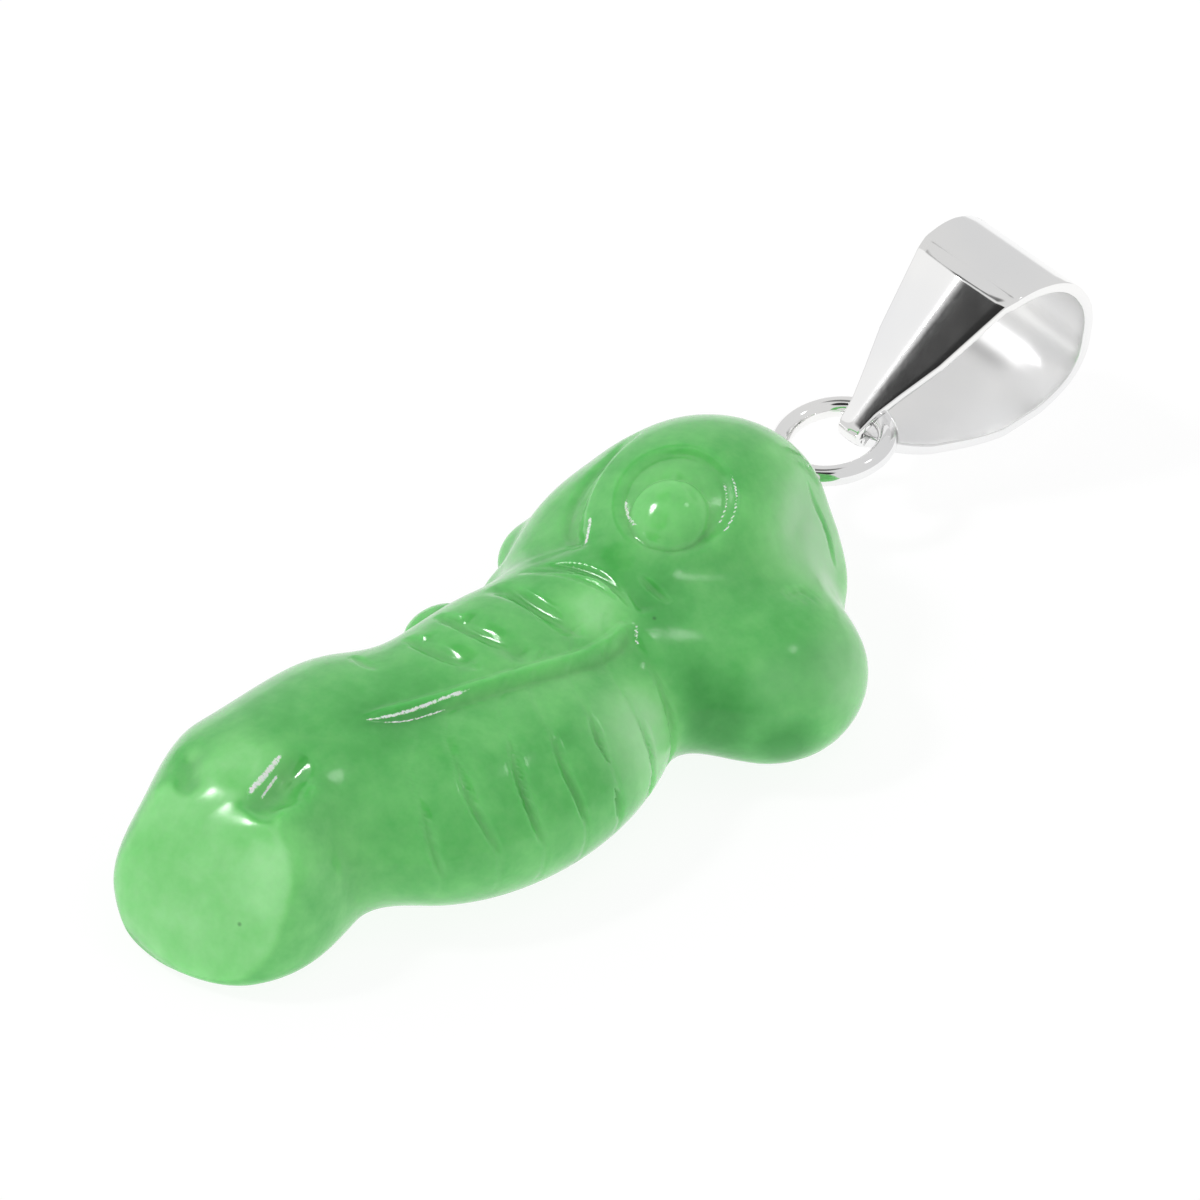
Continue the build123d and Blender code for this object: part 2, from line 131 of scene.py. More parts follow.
# Carved stone: the solid's form, with a wider tail end, softer tail grooves, deeper back valleys,
# finer belly strokes and, in this file alone, fine scores and rough places.  It has no peg hole.
stone = {
    "length": 28.5, "width": 13.0, "thickness": 7.7, "backRound": 0.9,
    "seat": -3.48,                 # seat under the cap, measured from the ring's middle
    "socketRadius": 2.1, "socketDepth": 0.24, "socketWall": 0.60,
    "eyeRadius": 1.27, "eyeRise": 0.5,
    "socketAt": (0.2165, 0.157, 0.900), "eyeAt": (0.241, 0.186, 0.915), "eyeFacing": (0.28, -0.38, 0.88),
    "foldWall": 0.34, "foldFrom": 2.6, "foldFull": 4.2,
    "rings": 400, "spokes": 240, "seatRings": 0.02,
    "evenSpokes": 0.6,             # share of the spokes' spacing that is even
    "rayHalvings": 18, "endHalvings": 30, "endDepth": 0.02, "probe": 0.02,
    "foldStart": 0.15,             # share of a fold over which it fades in
    "lineSteps": 9, "strokeSteps": 25, "scoreSteps": 15, "scoreMargin": 0.5,
    "cutPasses": 5, "cutShare": 0.9, "cutEdge": 0.06, "cutFade": 0.08,
    "flatWithin": (0.66, 0.84),    # how squarely a ground flat's surface faces its way
    "tailEnd": (0.80, 0.85), "headEnd": (0.14, 0.24),
    # name, along, across, up, long, wide, tall, blend: shares of the length, width and thickness
    "lobes": [
        ("tail curl", 0.793, 0.005, 0.299, 0.179, 0.323, 0.468, 0.00),
        ("tail heel", 0.873, 0.068, 0.195, 0.128, 0.277, 0.377, 0.12),
        ("tail shoulder", 0.872, 0.180, 0.320, 0.095, 0.165, 0.380, 0.06),
        ("waist", 0.674, 0.036, 0.338, 0.158, 0.338, 0.442, 0.13),
        ("belly", 0.551, 0.246, 0.338, 0.242, 0.358, 0.429, 0.12),
        ("back", 0.492, 0.105, 0.403, 0.228, 0.254, 0.416, 0.13),
        ("mane", 0.179, -0.041, 0.377, 0.193, 0.262, 0.455, 0.10),
        ("crest", 0.260, -0.233, 0.351, 0.053, 0.092, 0.169, 0.05),
        ("nape", 0.334, -0.141, 0.338, 0.046, 0.092, 0.156, 0.05),
        ("dorsal fin", 0.460, -0.148, 0.458, 0.046, 0.069, 0.091, 0.04),
        ("forehead", 0.127, 0.205, 0.364, 0.116, 0.269, 0.364, 0.10),
        ("head dome", 0.158, 0.098, 0.514, 0.167, 0.315, 0.514, 0.08),
        ("neck", 0.320, 0.175, 0.403, 0.126, 0.338, 0.390, 0.18),
        ("snout", 0.226, 0.506, 0.312, 0.111, 0.228, 0.351, 0.24),
    ],
    # lobe, along, across, up, the way it faces, blend
    "facets": [
        ("tail curl", *tailWall),
        ("tail heel", *tailWall),
        ("tail shoulder", *tailWall),
        ("tail curl", 0.913, -0.190, 0.390, (-0.83, -0.46, 0.31), 0.08),
        ("head dome", *headFlat),
        ("forehead", *headFlat),
    ],
    # along, across, up, long, wide, tall, turn, blend
    "hollows": [
        (0.829, 0.150, 0.772, 0.051, 0.050, 0.110, 16.0, 0.05),
    ],
    # the surface steps down to the right of three points (along, across): drop, reach, fading from
    "folds": [
        ((0.703, 0.124), (0.522, 0.298), (0.362, 0.330), 0.30, 1.7, 0.90),
        ((0.150, -0.088), (0.262, -0.052), (0.318, 0.083), 0.36, 0.9, 0.80),
        ((0.355, 0.325), (0.347, 0.190), (0.400, -0.010), 0.20, 0.8, 0.85),
    ],
    # soft lines through three points (along, across): rise, half width, fading in to, fading from
    "lines": [
        ((0.196, 0.112), (0.210, 0.178), (0.217, 0.240), -0.05, 0.10, 0.20, 0.80),
        ((0.703, 0.110), (0.522, 0.286), (0.362, 0.322), 0.13, 0.17, 0.10, 0.92),
        ((0.433, -0.020), (0.432, 0.143), (0.421, 0.276), -0.19, 0.40, 0.15, 0.85),
        ((0.502, 0.033), (0.510, 0.143), (0.499, 0.273), -0.19, 0.40, 0.15, 0.85),
        ((0.556, 0.010), (0.563, 0.090), (0.552, 0.210), -0.15, 0.40, 0.15, 0.85),
        ((0.150, -0.125), (0.262, -0.095), (0.316, 0.030), -0.12, 0.22, 0.20, 0.80),
        ((0.835, -0.150), (0.868, -0.075), (0.900, 0.000), -0.24, 0.45, 0.40, 0.60),
        ((0.875, 0.140), (0.830, 0.118), (0.775, 0.082), -0.10, 0.36, 0.15, 0.70),
        ((0.868, 0.195), (0.822, 0.218), (0.786, 0.165), 0.18, 0.34, 0.20, 0.75),
    ],
    # three points (along, turn round the spine), width, depth, how rough the stroke was left
    "strokes": [
        ((0.383, 127), (0.345, 90), (0.357, 51), 0.42, 0.15, 0.35),
        ((0.401, 121), (0.363, 86), (0.362, 56), 0.34, 0.10, 0.25),
        ((0.312, 67), (0.314, 55), (0.313, 43), 0.40, 0.10, 0.3),
        ((0.381, 38), (0.437, 12), (0.452, -16), 0.30, 0.09, 0.1),
        ((0.377, 36), (0.387, 11), (0.408, -16), 0.34, 0.12, 0.2),
        ((0.440, 51), (0.498, 25), (0.514, -8), 0.30, 0.09, 0.0),
        ((0.500, 55), (0.556, 28), (0.564, -2), 0.26, 0.07, 0.0),
        ((0.540, 60), (0.603, 31), (0.625, 0), 0.26, 0.07, 0.0),
        ((0.615, 60), (0.666, 30), (0.675, 3), 0.26, 0.07, 0.0),
        ((0.687, 42), (0.724, 20), (0.734, -1), 0.24, 0.06, 0.0),
        ((0.424, 126), (0.431, 90), (0.418, 54), 0.55, 0.17, 0.25),
        ((0.510, 132), (0.514, 97), (0.495, 62), 0.50, 0.15, 0.22),
        ((0.560, 130), (0.565, 102), (0.552, 75), 0.50, 0.13, 0.22),
        ((0.617, 136), (0.624, 122), (0.628, 107), 0.42, 0.10, 0.15),
        ((0.053, 48), (0.057, 24), (0.068, 0), 0.34, 0.20, 0.0),
        ((0.201, 22), (0.180, 20.5), (0.157, 17), 0.46, 0.15, 0.4),
    ],
    # rough places along the plan lines: three points (along, across), half width, strength
    "rough": [
        ((0.705, 0.120), (0.650, 0.185), (0.560, 0.265), 0.04, 1.0),
        ((0.690, 0.150), (0.650, 0.198), (0.600, 0.245), 0.04, 0.9),
        ((0.864, 0.104), (0.828, 0.090), (0.786, 0.070), 0.11, 1.0),
        ((0.852, 0.126), (0.830, 0.108), (0.805, 0.095), 0.05, 1.0),
        ((0.362, 0.335), (0.372, 0.352), (0.380, 0.372), 0.10, 0.9),
        ((0.318, 0.060), (0.300, 0.035), (0.280, 0.000), 0.10, 0.9),
    ],
    # rough arcs in the eye socket: radius, from, to (degrees), half width
    "arcs": [(1.66, -42, 40, 0.07), (1.98, -48, 46, 0.07), (1.58, 172, 238, 0.09)],
    "arcStrength": 0.9,
    "strokeRise": 0.25,
    # long fine scores down the belly: three points (along, turn round the spine), half width, depth
    "scores": [
        ((0.384, 60), (0.432, 26), (0.452, -24), 0.085, 0.045),
        ((0.374, 52), (0.385, 18), (0.410, -24), 0.085, 0.045),
        ((0.422, 62), (0.492, 30), (0.516, -20), 0.085, 0.045),
        ((0.478, 64), (0.548, 34), (0.570, -18), 0.080, 0.040),
        ((0.520, 66), (0.594, 38), (0.628, -14), 0.080, 0.040),
        ((0.590, 66), (0.655, 38), (0.680, -10), 0.080, 0.035),
        ((0.668, 50), (0.718, 26), (0.738, -12), 0.080, 0.030),
    ],
    # along, across, up
    "spine": [(0.00, 0.04, 0.43), (0.16, 0.10, 0.40), (0.33, 0.14, 0.40), (0.55, 0.16, 0.38),
              (0.80, -0.01, 0.34), (0.93, 0.04, 0.22), (0.98, 0.062, 0.11), (1.00, 0.062, 0.10)],
    # how the rings are shared out along the stone: share of the rings, along
    "spread": [(0.000, 0.000), (0.030, 0.004), (0.075, 0.025), (0.16, 0.080), (0.50, 0.37), (0.90, 0.86),
               (0.965, 0.950), (1.000, 1.000)],
}


def softLeast(first, second, blend):
    share = np.clip(0.5 + 0.5 * (second - first) / blend, 0, 1)
    return second * (1 - share) + first * share - blend * share * (1 - share)


def softMost(first, second, blend):
    return -softLeast(-first, -second, blend)


def rise(low, high, value):
    share = np.clip((value - low) / (high - low), 0, 1)
    return share * share * (3 - 2 * share)


def placeOf(along, across, up):
    # shares of the stone's sizes as a place in millimetres round the ring's middle
    return np.array([across * stone["width"], stone["seat"] - along * stone["length"],
                     up * stone["thickness"]])


def halvesOf(long, wide, tall):
    return np.array([wide * stone["width"], long * stone["length"], tall * stone["thickness"]])


def unit(way):
    way = np.array(way, float)
    return way / np.linalg.norm(way)


def ellipsoid(points, centre, halves, turn=0.0):
    rel = points - centre
    cosine, sine = math.cos(math.radians(turn)), math.sin(math.radians(turn))
    across = rel[:, 0] * cosine + rel[:, 1] * sine
    along = rel[:, 1] * cosine - rel[:, 0] * sine
    scaled = np.stack([across, along, rel[:, 2]], -1) / halves
    reach = np.linalg.norm(scaled, axis=-1)
    return reach * (reach - 1) / (np.linalg.norm(scaled / halves, axis=-1) + 1e-9)


def bow(first, half, last, share):
    # a curve through three points: the middle one is reached half-way
    first, half, last = (np.array(spot, float) for spot in (first, half, last))
    pull = 2 * half - (first + last) / 2
    return (1 - share) ** 2 * first + 2 * share * (1 - share) * pull + share ** 2 * last


def beside(points, runs):
    # distance from a line drawn in plan, positive to the right of its way, and the share run
    best = np.full(len(points), 1e9)
    side, share = np.zeros(len(points)), np.zeros(len(points))
    for number in range(len(runs) - 1):
        way = runs[number + 1] - runs[number]
        size = math.hypot(*way)
        way = way / size
        rel = points[:, :2] - runs[number]
        run = np.clip(rel @ way, 0, size)
        gap = np.linalg.norm(rel - run[:, None] * way, axis=-1)
        near = gap < best
        side = np.where(near, np.sign(rel[:, 0] * way[1] - rel[:, 1] * way[0]) * gap, side)
        share = np.where(near, (number + run / size) / (len(runs) - 1), share)
        best = np.where(near, gap, best)
    return side, share


def offAxis(points, centre, facing):
    rel = points - centre
    return np.sqrt(np.maximum((rel * rel).sum(-1) - (rel @ facing) ** 2, 0))


def planRuns(rows):
    # each row's three points as a bow of short straight runs, seen from above
    found = []
    for row in rows:
        plan = [placeOf(spot[0], spot[1], 0)[:2] for spot in row[:3]]
        found.append([bow(*plan, share) for share in np.linspace(0, 1, stone["lineSteps"])])
    return found


foldRuns, lineRuns = planRuns(stone["folds"]), planRuns(stone["lines"])


def stoneField(points):
    # below zero inside the stone, in millimetres round the ring's middle
    thickness = stone["thickness"]
    field = None
    for name, along, across, up, long, wide, tall, blend in stone["lobes"]:
        one = ellipsoid(points, placeOf(along, across, up), halvesOf(long, wide, tall))
        for lobe, *place, facing, soft in stone["facets"]:
            if lobe == name:
                one = softMost(one, (points - placeOf(*place)) @ unit(facing), soft * thickness)
        field = one if field is None else softLeast(field, one, blend * thickness)
    for along, across, up, long, wide, tall, turn, blend in stone["hollows"]:
        one = ellipsoid(points, placeOf(along, across, up), halvesOf(long, wide, tall), turn)
        field = softMost(field, -one, blend * thickness)
    upper = rise(stone["foldFrom"], stone["foldFull"], points[:, 2])
    wall = stone["foldWall"] / 2
    for row, runs in zip(stone["folds"], foldRuns):
        drop, reach, fade = row[3:]
        side, share = beside(points, runs)
        step = rise(-wall, wall, side) * np.exp(-np.clip(side, 0, None) / reach)
        start = rise(0, stone["foldStart"], share)
        field = field + drop * step * start * (1 - rise(fade, 1, share)) * upper
    for row, runs in zip(stone["lines"], lineRuns):
        lift, reach, full, fade = row[3:]
        side, share = beside(points, runs)
        ends = rise(0, full, share) * (1 - rise(fade, 1, share))
        field = field - lift * np.exp(-(side / reach) ** 2) * ends * upper
    facing = unit(stone["eyeFacing"])
    out = offAxis(points, placeOf(*stone["socketAt"]), facing)
    edge = stone["socketRadius"]
    field = field + stone["socketDepth"] * upper * (1 - rise(edge - stone["socketWall"], edge, out))
    out = offAxis(points, placeOf(*stone["eyeAt"]), facing)
    field = field - stone["eyeRise"] * upper * np.sqrt(np.clip(1 - (out / stone["eyeRadius"]) ** 2, 0, 1))
    return softMost(field, -points[:, 2], stone["backRound"])


def spineSpot(along):
    rows = np.array(stone["spine"])
    return np.stack([np.interp(along, rows[:, 0], rows[:, 1]) * stone["width"],
                     stone["seat"] - along * stone["length"],
                     np.interp(along, rows[:, 0], rows[:, 2]) * stone["thickness"]], -1)


def onStone(along, turns):
    # where rays from the spine leave the stone
    turns = np.radians(turns)
    ways = np.stack([np.cos(turns), np.zeros(len(turns)), np.sin(turns)], -1)
    middle = spineSpot(along)
    inner, outer = np.zeros(len(turns)), np.full(len(turns), stone["width"])
    for _ in range(stone["rayHalvings"]):
        half = (inner + outer) / 2
        inside = stoneField(middle + ways * half[:, None]) < 0
        inner, outer = np.where(inside, half, inner), np.where(inside, outer, half)
    return middle + ways * inner[:, None], ways


def outwardAt(spot):
    steps = np.eye(3) * stone["probe"]
    return unit(stoneField(spot + steps) - stoneField(spot - steps))


def arcThrough(first, half, last, count):
    # points on the circle through three points
    toFirst, toHalf = first - last, half - last
    axis = np.cross(toFirst, toHalf)
    pull = toFirst @ toFirst * toHalf - toHalf @ toHalf * toFirst
    centre = last + np.cross(pull, axis) / (2 * axis @ axis)
    axis = unit(np.cross(first - centre, half - centre))
    ahead = first - centre
    aside = np.cross(axis, ahead)
    sweep = math.atan2((last - centre) @ aside, (last - centre) @ ahead) % (2 * math.pi)
    turns = np.linspace(0, sweep, count)
    return [centre + ahead * math.cos(turn) + aside * math.sin(turn) for turn in turns]


def strokeTool(stroke):
    # the round tool's size and the line that its middle follows
    first, half, last, width, depth = stroke[:5]
    tool = (width ** 2 / 4 + depth ** 2) / (2 * depth)
    lift = stone["strokeRise"]
    path = []
    for (along, turn), sink in ((first, -lift), (half, 1.0), (last, -lift)):
        spot = onStone(np.array([along]), np.array([turn]))[0][0]
        path.append(spot + outwardAt(spot) * (tool - sink * depth))
    return tool, np.array(arcThrough(*path, stone["strokeSteps"]))


def fromLine(points, line):
    best = np.full(len(points), 1e9)
    for start, end in zip(line[:-1], line[1:]):
        way = end - start
        run = np.clip((points - start) @ way / (way @ way), 0, 1)
        best = np.minimum(best, np.linalg.norm(points - start - run[:, None] * way, axis=-1))
    return best


def tailEnd():
    # how far along the stone its last ring stands, just inside the tail's front wall
    inner, outer = 0.8, 1.1
    for _ in range(stone["endHalvings"]):
        half = (inner + outer) / 2
        if stoneField(spineSpot(np.array([half])))[0] < -stone["endDepth"]:
            inner = half
        else:
            outer = half
    return inner


def ballMesh():
    # a ball of rings and spokes, whose vertices are then set on the stone
    coarse = 1
    bm = bmesh.new()
    bmesh.ops.create_uvsphere(bm, u_segments=stone["spokes"] // coarse, v_segments=stone["rings"] // coarse,
                              radius=1.0)
    mesh = bpy.data.meshes.new("jadeSeahorse")
    bm.to_mesh(mesh)
    bm.free()
    flat = np.empty(len(mesh.vertices) * 3)
    mesh.vertices.foreach_get("co", flat)
    return mesh, flat.reshape(-1, 3)


def boxed(spots, line, margin):
    # the numbers of the spots in the box round a line
    inBox = (spots > line.min(0) - margin) & (spots < line.max(0) + margin)
    return np.nonzero(np.all(inBox, axis=1))[0]


def carveStrokes(spots, ways, groove, rough):
    for stroke in stone["strokes"]:
        tool, line = strokeTool(stroke)
        roughAndGlint = stroke[-1]
        near = boxed(spots, line, tool)
        for _ in range(stone["cutPasses"]):
            bite = np.clip(tool - fromLine(spots[near], line), 0, None)
            spots[near] -= ways[near] * bite[:, None] * stone["cutShare"]
        depth = rise(0.0, stone["cutFade"], tool + stone["cutEdge"] - fromLine(spots[near], line))
        groove[near] = np.maximum(groove[near], depth)
        rough[near] = np.maximum(rough[near], depth * roughAndGlint)


def carveScores(spots, ways, groove):
    for first, half, last, reach, depth in stone["scores"]:
        route = np.array([bow(first, half, last, run) for run in np.linspace(0, 1, stone["scoreSteps"])])
        line = onStone(route[:, 0], route[:, 1])[0]
        near = boxed(spots, line, stone["scoreMargin"])
        mark = np.exp(-(fromLine(spots[near], line) / reach) ** 2)
        spots[near] -= ways[near] * (depth * mark)[:, None]
        groove[near] = np.maximum(groove[near], mark)


def roughPlaces(spots, rough):
    # what the tool left unpolished, along lines and in the eye socket; the same places are painted near
    # white there as painted glints
    upper = rise(stone["foldFrom"], stone["foldFull"], spots[:, 2])
    for row, runs in zip(stone["rough"], planRuns(stone["rough"])):
        reach, strength = row[3:]
        side, run = beside(spots, runs)
        ends = rise(0, 0.2, run) * (1 - rise(0.8, 1, run))
        rough = np.maximum(rough, strength * np.exp(-(side / reach) ** 2) * ends * upper)
    facing = unit(stone["eyeFacing"])
    sideways = unit(np.cross((0, 0, 1), facing))
    rel = spots - placeOf(*stone["socketAt"])
    angle = np.degrees(np.arctan2(rel @ np.cross(facing, sideways), rel @ sideways))
    out = offAxis(spots, placeOf(*stone["socketAt"]), facing)
    for radius, start, end, reach in stone["arcs"]:
        run = ((angle - start) % 360) / (end - start)
        arc = np.exp(-((out - radius) / reach) ** 2) * rise(0, 0.25, run) * (1 - rise(0.75, 1, run))
        rough = np.maximum(rough, stone["arcStrength"] * arc * upper)
    return rough


def groundFlats(mesh, along):
    # how much of a ground flat each vertex is, from the way the surface faces near either end; the jade is
    # painted paler there, painted light on the tail's front wall and a milky tone on the head's flat
    flat = np.empty(len(mesh.vertices) * 3)
    mesh.vertex_normals.foreach_get("vector", flat)
    normals = flat.reshape(-1, 3)
    onTail, onHead = rise(*stone["tailEnd"], along), 1 - rise(*stone["headEnd"], along)
    flats = [rise(*stone["flatWithin"], normals @ unit(wall[3])) * onEnd
             for wall, onEnd in ((tailWall, onTail), (headFlat, onHead))]
    return np.maximum(*flats)


def buildStone():
    mesh, ball = ballMesh()
    share = np.arccos(np.clip(ball[:, 2], -1, 1)) / math.pi
    turns = np.degrees(np.arctan2(ball[:, 1], ball[:, 0])) / 180
    even = stone["evenSpokes"]
    turns = 90 + 180 * (even * turns + (1 - even) * turns ** 3)      # closer together on the carved side
    seatShare = stone["seatRings"]
    rows = np.array(stone["spread"])
    along = np.interp((share - seatShare) / (1 - seatShare), rows[:, 0], rows[:, 1]) * tailEnd()
    spots, ways = onStone(along, turns)
    spots[share > 1 - 1e-6] = spineSpot(np.array([along.max()]))[0]
    print("stone: base form set,", len(spots), "vertices")
    groove, rough = np.zeros(len(spots)), np.zeros(len(spots))
    carveStrokes(spots, ways, groove, rough)
    carveScores(spots, ways, groove)
    onSeat = share < seatShare
    middle = spineSpot(np.zeros(1))[0]
    spots[onSeat] = middle + (spots[onSeat] - middle) * (share[onSeat] / seatShare)[:, None]
    mesh.vertices.foreach_set("co", ((spots + [ringSpot[0], ringSpot[1], 0]) * mm).ravel())
    rough = roughPlaces(spots, rough)
    bm = bmesh.new()
    bm.from_mesh(mesh)
    bmesh.ops.recalc_face_normals(bm, faces=bm.faces)
    bm.to_mesh(mesh)
    bm.free()
    mesh.update()
    for name, values in (("groove", groove), ("rough", rough), ("flatWall", groundFlats(mesh, along))):
        mesh.attributes.new(name, "FLOAT", "POINT").data.foreach_set("value", values)
    mesh.shade_smooth()
    piece = bpy.data.objects.new("jadeSeahorse", mesh)
    bpy.context.scene.collection.objects.link(piece)
    return piece


# Jade.  Places are in millimetres of the row frame, each followed by its reach and its strength.
# The specks' reach and the depth's scale are in metres
jade = {
    # the body's greens, from the deep to the pale, and the tints laid over them; the pure white is a
    # painted glint on the rough places
    "greens": [(0.0, (0.030, 0.350, 0.046, 1)), (0.30, (0.100, 0.510, 0.110, 1)),
               (0.60, (0.215, 0.690, 0.205, 1)), (1.0, (0.400, 0.850, 0.385, 1))],
    "milk": (0.450, 0.720, 0.450, 1), "grooveTint": (0.200, 0.680, 0.200, 1), "glintWhite": (1.0, 1.0, 1.0, 1),
    "speck": (0.010, 0.080, 0.020, 1), "speckReach": (0.00011, 0.00003), "speckStrength": 0.6,
    # the ground flats are painted paler: painted light on the tail's front wall, a milky tone on the head's
    # flat
    "paleMean": 0.36, "flatLightAndMilk": 0.26, "grooveStrength": 0.30,
    "refraction": 1.62, "depthShare": 0.8, "depthRadius": (0.35, 1.0, 0.40), "depthScale": 0.0014,
    # soft patches, paler (above zero) or deeper green; among them painted shade low in the throat and under
    # the snout, and painted light in the eye socket's hollow
    "patches": [
        ((-1.2, -19.8, 2.2), 6.0, 0.10), ((-2.2, -16.3, 6.0), 2.0, 0.40), ((0.5, -17.6, 4.0), 1.9, 0.35),
        ((3.9, -4.8, 3.4), 2.6, 0.60), ((0.6, -3.4, 5.9), 1.8, 0.45), ((1.6, -9.0, 3.0), 2.4, 0.15),
        # first: painted shade low in the throat; last: painted light in the eye socket's hollow
        ((3.6, -1.2, 2.0), 3.0, -0.50), ((1.2, -1.8, 5.2), 2.0, -0.25), ((-0.6, 1.3, 6.9), 2.6, 0.30),
        # last two: painted shade beside the throat and under the snout
        ((-0.5, -11.5, 5.5), 2.4, -0.15), ((4.2, -2.6, 3.5), 2.4, -0.25), ((6.3, -0.7, 1.7), 1.7, -0.50),
        ((0.0, -0.5, 6.7), 1.7, 0.15), ((2.1, -6.7, 5.4), 1.8, 0.10), ((0.9, 3.9, 7.1), 1.8, -0.20),
    ],
    # milky places on the forehead's flank, the snout, the belly and the mane
    "milky": [
        ((2.0, 4.9, 4.9), 3.2, 1.0), ((6.5, 1.8, 3.6), 2.2, 0.60), ((4.2, -5.6, 4.0), 2.5, 0.60),
        ((5.8, -0.5, 4.0), 1.6, 0.25), ((-3.8, -0.7, 5.6), 2.2, 0.10),
    ],
    # places left a little less polished: the cheek, and the bend above the tail's front wall
    "matte": [((3.4, 0.4, 4.6), 3.0, 0.11), ((-1.6, -18.0, 4.7), 2.4, 0.11)],
    # dark specks, places alone
    "specks": [(-3.45, 0.18, 6.36), (1.90, -2.29, 5.58), (0.53, -19.29, 2.70), (-1.06, -16.80, 5.40)],
}


def jadeMaterial():
    graph = Graph("polishedJade")
    spot = graph.objectSpot()
    groove, roughAndGlint, flatWall = (graph.attribute(name) for name in ("groove", "rough", "flatWall"))
    wander = graph.noise(spot, 420, 3.0, 0.6)
    clouds = graph.noise(spot, 240, 4.0, 0.6, 0.4)
    mottle = graph.noise(spot, 1100, 3.0, 0.6)
    glintSpeckle = graph.noise(spot, 10000, 3.0, 0.7)
    grain = graph.noise(spot, 9000, 3.0, 0.6)
    wave = graph.noise(spot, 1300, 2.0, 0.5)

    def nearTo(place, reach):
        # one at the place, none at its reach, with a wandering edge
        share = graph.distance(spot, place) / (reach * mm)
        return graph.ramp(share + 0.35 * (wander - 0.5), 1.0, 0.10)

    # paler where the surface faces a ground flat's way: painted light on the tail's front wall, a milky
    # tone on the head's flat
    pale = jade["paleMean"] + 0.55 * (clouds - 0.5) + 0.35 * (mottle - 0.5) + jade["flatLightAndMilk"] * flatWall
    for place, reach, strength in jade["patches"]:
        pale = pale + strength * nearTo(place, reach)
    body = graph.node("ShaderNodeValToRGB", {"stops": jade["greens"]}, {0: pale})
    for place, reach, strength in jade["milky"]:
        body = graph.mix(nearTo(place, reach) * strength * (0.30 + 0.7 * wander), body, jade["milk"])
    body = graph.mix(groove * jade["grooveStrength"], body, jade["grooveTint"])
    # painted glints: near white, broken by fine noise, laid on the rough places where the lamp's sparkle
    # would be
    body = graph.mix(graph.ramp(roughAndGlint * (0.25 + 1.5 * glintSpeckle), 0.58, 0.90), body, jade["glintWhite"])
    for place in jade["specks"]:
        dark = graph.ramp(graph.distance(spot, place), *jade["speckReach"])
        body = graph.mix(jade["speckStrength"] * dark, body, jade["speck"])
    shine = 0.10 + 0.08 * wander + 0.20 * roughAndGlint
    for place, reach, strength in jade["matte"]:
        shine = shine + strength * nearTo(place, reach)
    shader = graph.node("ShaderNodeBsdfPrincipled", {"subsurface_method": "RANDOM_WALK"}, {
        "Base Color": body, "Roughness": shine, "IOR": jade["refraction"],
        "Normal": graph.bump(0.6, 0.00005, 0.3 * grain * roughAndGlint + 0.25 * wave + 0.05 * grain),
        "Subsurface Weight": jade["depthShare"], "Subsurface Radius": jade["depthRadius"],
        "Subsurface Scale": jade["depthScale"]})
    return graph.finish(shader)


stonePiece = buildStone()
stonePiece.data.materials.append(jadeMaterial())
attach(stonePiece, "root")
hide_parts("jade_seahorse")
print("stone: done")


# Silver cap, solder, peg and eye ring
fitting = {
    "ringRadius": 1.82, "wire": 0.70, "pitch": 6.5, "roll": -4.0,
    "capDiameter": 2.75, "capThickness": 1.10, "capEdge": 0.45, "capToRing": 0.18,
    "solderWidth": 1.3, "pegDiameter": 1.0, "pegLength": 4.0,
    "ringSides": 96, "wireSides": 28, "capSides": 72, "edgeSteps": 8,
    # the solder's outline: past its half width and the cap's front, then off the axis at the wire
    "solderFoot": [(0.12, 0.0), (-0.05, 0.04), (-0.22, 0.16)],
    "solderNeck": [(0.34, -0.2), (0.26, 0.0), (0.0, 0.0)],
    "coolTint": (0.90, 0.90, 0.905, 1), "warmTint": (0.95, 0.945, 0.935, 1),
    "polish": 0.07, "haze": 0.03, "duller": 0.22,      # duller on the bail's inner face
}


def silverMaterial():
    graph = Graph("polishedSilver")
    spot = graph.objectSpot()
    haze = graph.noise(spot, 900, 3.0, 0.6)
    warm = graph.ramp(graph.noise(spot, 220, 2.0), 0.35, 0.7)
    tint = graph.mix(warm, fitting["coolTint"], fitting["warmTint"])
    roughness = fitting["polish"] + fitting["haze"] * haze + fitting["duller"] * graph.attribute("inside")
    shader = graph.node("ShaderNodeBsdfPrincipled", {}, {
        "Base Color": tint, "Metallic": 1.0, "Roughness": roughness,
        "Normal": graph.bump(0.10, 0.00003, haze)})
    return graph.finish(shader)


silver = silverMaterial()


def finishPiece(name, bm, node, material):
    bmesh.ops.recalc_face_normals(bm, faces=bm.faces)
    mesh = bpy.data.meshes.new(name)
    bm.to_mesh(mesh)
    bm.free()
    mesh.shade_smooth()
    piece = bpy.data.objects.new(name, mesh)
    bpy.context.scene.collection.objects.link(piece)
    piece.data.materials.append(material)
    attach(piece, "root")
    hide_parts(node)
    return piece


def turned(degrees, axis):
    return Matrix.Rotation(math.radians(degrees), 4, axis)


